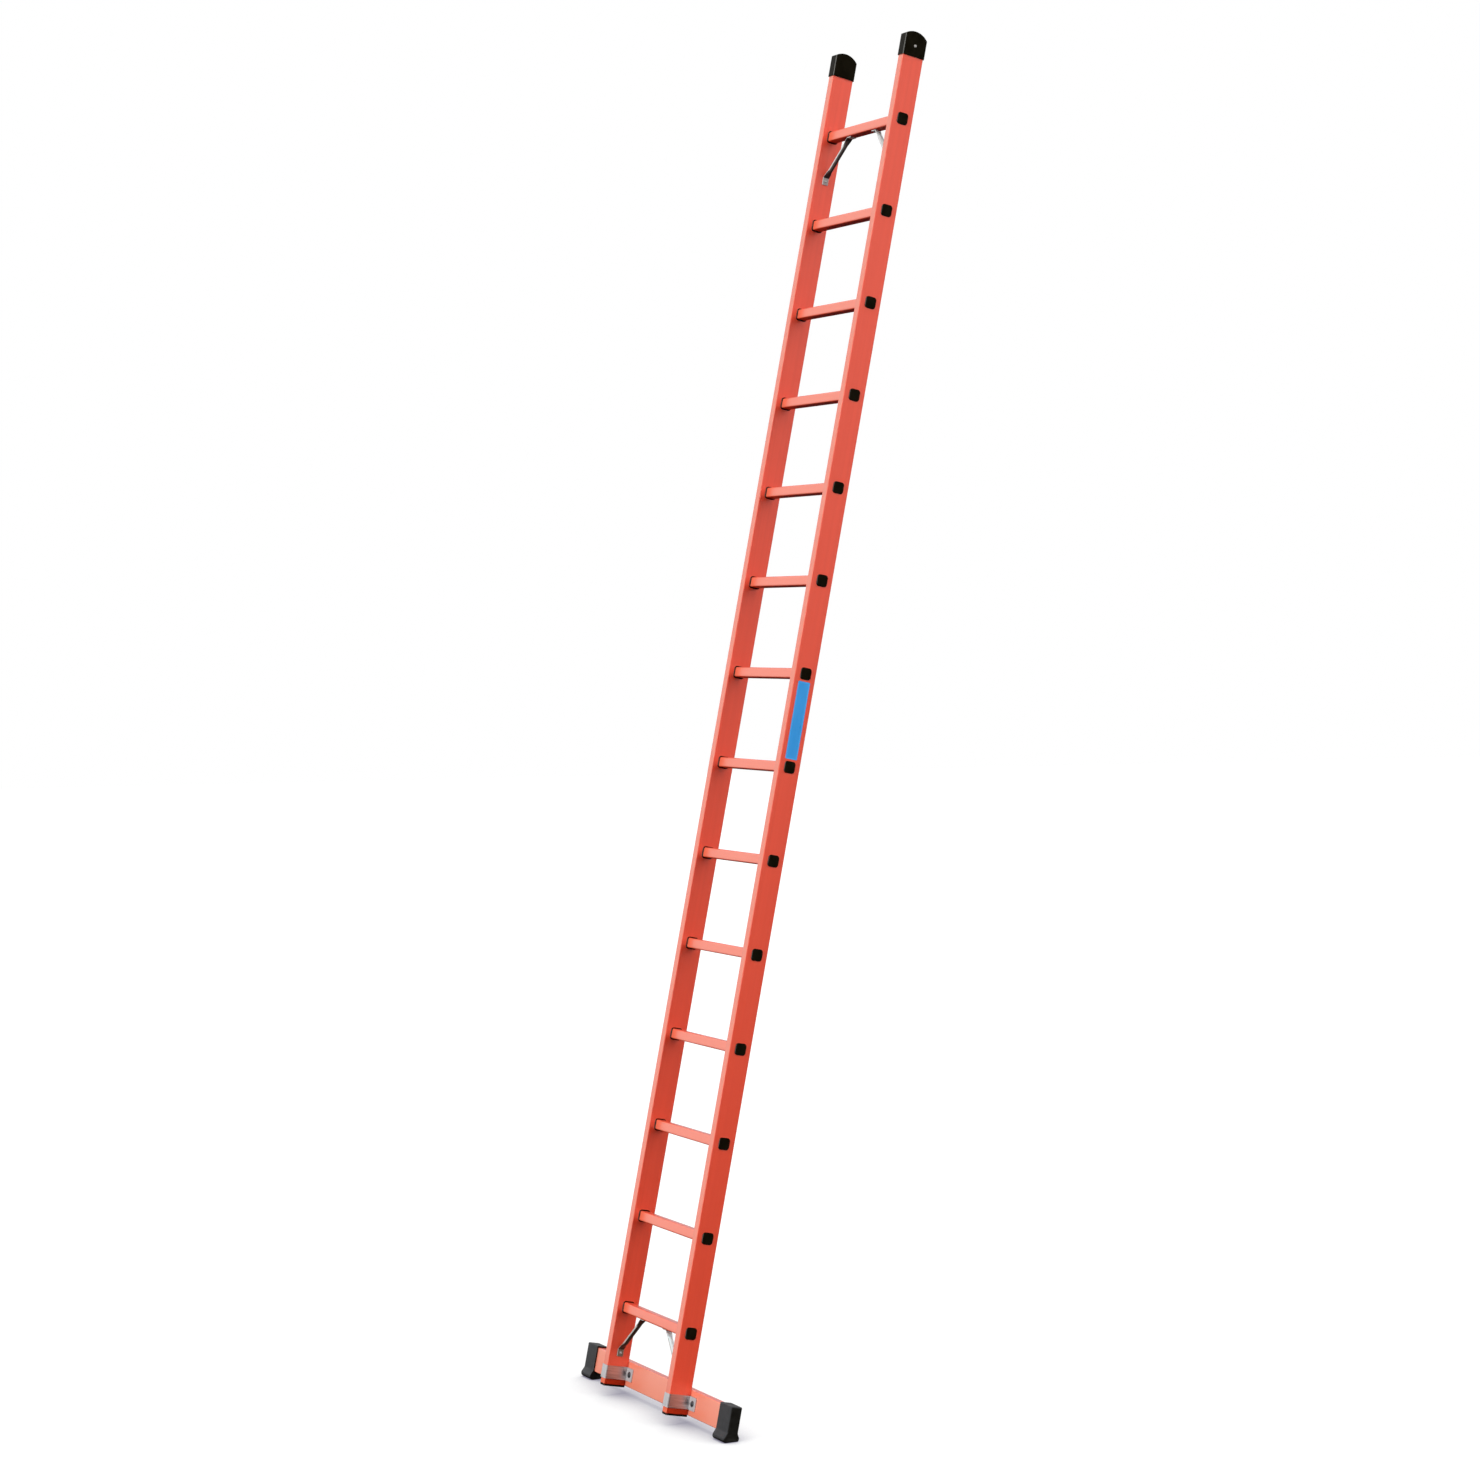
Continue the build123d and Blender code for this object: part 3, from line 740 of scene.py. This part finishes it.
def rivetSeats(setup):
    seats = []
    inside = ladder["halfWidth"] - ladder["stileThickness"] - setup["tab"] - setup["crown"]
    outside = ladder["halfWidth"] + setup["capFace"] + setup["crown"]
    under = ladder["rungSide"] / 2 + setup["tab"] + setup["crown"]
    topRung = (ladder["rungCount"] - 1) * ladder["rungPitch"]
    for side in (-1, 1):
        seats.append((ladderPlace(side * outside, 0, setup["capHeight"]), side * across))
        for rungHeight in (0, topRung):
            tabHeight = rungHeight - setup["stileTabDrop"]
            seats.append((ladderPlace(side * inside, 0, tabHeight), -side * across))
            reach = side * setup["rungTabReach"]
            seats.append((ladderPlace(reach, 0, rungHeight - under), -uphill))
    return seats


def rivetStemTree(setup, finish):
    tree, given = newNodeTree("rivetStems", setup["sizes"])
    stem = addNode(
        tree,
        "GeometryNodeMeshCylinder",
        {"Vertices": setup["stemSides"], "Radius": given["stemRadius"], "Depth": given["stemHeight"]},
    )
    loop = roundCurve(tree, setup["ringSides"], given["ringRadius"])
    bead = roundCurve(tree, setup["beadSides"], given["ringThickness"])
    ring = addNode(tree, "GeometryNodeCurveToMesh", {"Curve": loop, "Profile Curve": bead})
    lower = reckon(tree, "MULTIPLY", given["ringDrop"], -1)
    drop = addNode(tree, "ShaderNodeCombineXYZ", {"Z": lower})
    placed = addNode(
        tree,
        "GeometryNodeTransform",
        {"Geometry": ring.outputs["Mesh"], "Translation": drop.outputs[0]},
    )
    both = addNode(tree, "GeometryNodeJoinGeometry", {"Geometry": stem.outputs["Mesh"]})
    tree.links.new(placed.outputs["Geometry"], both.inputs["Geometry"])
    setOut(tree, given["Seats"], both.outputs["Geometry"], finish)
    return tree


growPiece(
    "rivetStems",
    rivetStemTree(rivetStems, stemFinish),
    rivetStems["sizes"],
    rivetSeats(rivetStems),
)

boltThreads = {
    "sizes": {"threadRadius": 0.0040, "ridge": 0.00026, "threadLength": 0.0020, "turns": 2.0},
    "turnSteps": 16,
    "beadSides": 6,
    "from": 0.0740,  # rearward from the middle of the stiles, just past the nuts
    "height": -0.1995,  # middle of the bar
    "offset": 0.0202,  # bolts stand this far out from both faces of a stile
}


def threadSeats(setup):
    inner = ladder["halfWidth"] - ladder["stileThickness"] - setup["offset"]
    outer = ladder["halfWidth"] + setup["offset"]
    return [
        (ladderPlace(side * reach, setup["from"], setup["height"]), rearward)
        for side in (-1, 1)
        for reach in (inner, outer)
    ]


def threadTree(setup, finish):
    tree, given = newNodeTree("boltThreads", setup["sizes"])
    helix = addNode(
        tree,
        "GeometryNodeCurveSpiral",
        {
            "Resolution": setup["turnSteps"],
            "Rotations": given["turns"],
            "Start Radius": given["threadRadius"],
            "End Radius": given["threadRadius"],
            "Height": given["threadLength"],
        },
    )
    bead = roundCurve(tree, setup["beadSides"], given["ridge"])
    thread = addNode(
        tree,
        "GeometryNodeCurveToMesh",
        {"Curve": helix.outputs["Curve"], "Profile Curve": bead, "Fill Caps": True},
    )
    setOut(tree, given["Seats"], thread.outputs["Mesh"], finish)
    return tree


growPiece(
    "boltThreads",
    threadTree(boltThreads, boltFinish),
    boltThreads["sizes"],
    threadSeats(boltThreads),
)

# Label: plain blue film with a faint line round it

label = {
    "blue": (0.030, 0.325, 0.79, 1),
    "deepBlue": (0.024, 0.30, 0.74, 1),
    "line": (0.06, 0.40, 0.87, 1),
    "halfLength": 0.11625,
    "halfWidth": 0.020,
    "lineInset": 0.0032,
    "lineWidth": 0.0010,
    "roughness": (0.26, 0.40),
    "cloud": (0.03, 0.03, 0.06),
    "cloudSpan": (0.35, 0.7),
    "ripple": (0.004, 0.004, 0.006),
    "rippleRelief": (0.15, 0.0001),
}


def labelFinish(name, setup):
    material, tree, shader = newFinish(name)
    low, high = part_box("stile_label")
    centred = leaningFrom(tree, (low + high) / 2)
    folded = addNode(tree, "ShaderNodeVectorMath", {0: centred}, operation="ABSOLUTE")
    split = addNode(tree, "ShaderNodeSeparateXYZ", {0: folded.outputs[0]})
    toSide = reckon(tree, "SUBTRACT", setup["halfWidth"], split.outputs["Y"])
    toEnd = reckon(tree, "SUBTRACT", setup["halfLength"], split.outputs["Z"])
    onLine = addNode(
        tree,
        "ShaderNodeMath",
        {0: reckon(tree, "MINIMUM", toSide, toEnd), 1: setup["lineInset"], 2: setup["lineWidth"]},
        operation="COMPARE",
    )
    cloud = grain(tree, setup["cloud"], detail=3)
    ink = blendColour(tree, spread(tree, cloud, *setup["cloudSpan"]), setup["deepBlue"], setup["blue"])
    colour = blendColour(tree, onLine.outputs[0], ink, setup["line"])
    sheen = spread(tree, cloud, *noiseSpan, *setup["roughness"])
    ripple = grain(tree, setup["ripple"], detail=2)
    skin = relief(tree, ripple, *setup["rippleRelief"])
    wire(tree, shader, {"Base Color": colour, "Roughness": sheen, "Normal": skin})
    return material


dress(["stile_label"], labelFinish("labelFilm", label))
print("label done")
